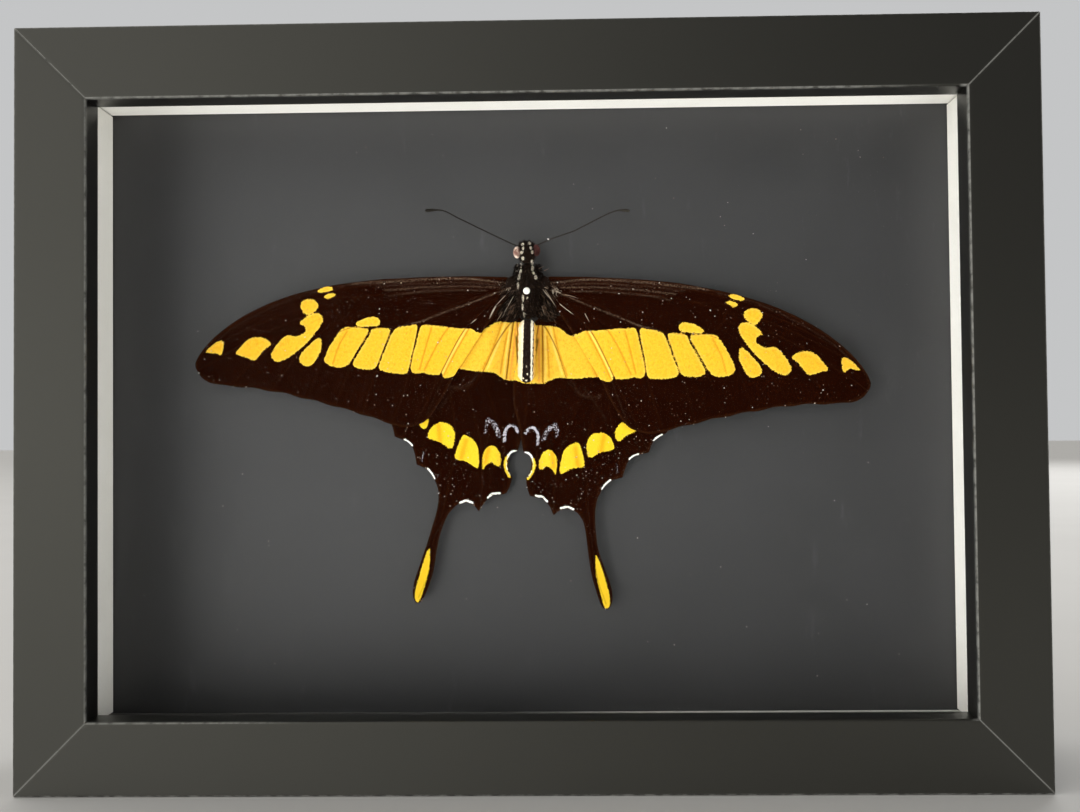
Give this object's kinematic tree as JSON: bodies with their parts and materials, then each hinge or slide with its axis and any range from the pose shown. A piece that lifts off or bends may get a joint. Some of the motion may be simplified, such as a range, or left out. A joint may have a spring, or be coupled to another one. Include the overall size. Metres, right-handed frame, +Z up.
{
  "type": "framed butterfly specimen",
  "caption": "Black deep box frame with glass and a white card liner, holding a pinned swallowtail butterfly over black card.",
  "frame": {"origin": "centre of the underside of the lower rail", "axes": "+Z up the standing frame, +X to the right seen from the front, -Y out of the glass"},
  "size_m": [0.2, 0.04, 0.15],
  "materials": {
    "black_foil": "satin black foil over fibreboard",
    "clear_glass": "clear float glass",
    "white_card": "matte white card",
    "black_card": "matte black card",
    "pinning_pad": "light grey pinning board",
    "hardboard": "brown hardboard",
    "zinc_steel": "dull zinc-plated steel",
    "pin_steel": "bright pin wire with a white enamelled head",
    "wing_scales": "dark brown wing scales with yellow bands and spots",
    "body_fur": "dark furry insect body with cream dots"
  },
  "bodies": {
    "root": {"rail_top": "black_foil", "rail_bottom": "black_foil", "rail_left": "black_foil", "rail_right": "black_foil", "glass": "clear_glass", "spacer_top": "white_card", "spacer_bottom": "white_card", "spacer_left": "white_card", "spacer_right": "white_card", "backing_card": "black_card", "pinning_pad": "pinning_pad", "backboard": "hardboard", "point_top_1": "zinc_steel", "point_top_2": "zinc_steel", "point_bottom_1": "zinc_steel", "point_bottom_2": "zinc_steel", "point_left": "zinc_steel", "point_right": "zinc_steel", "hanger_plate": "zinc_steel", "hanger_rivet_1": "zinc_steel", "hanger_rivet_2": "zinc_steel", "head": "body_fur", "thorax": "body_fur", "abdomen": "body_fur", "antenna_left": "body_fur", "antenna_right": "body_fur", "forewing_left": "wing_scales", "forewing_right": "wing_scales", "hindwing_left": "wing_scales", "hindwing_right": "wing_scales", "insect_pin": "pin_steel"}
  },
  "joints": []
}
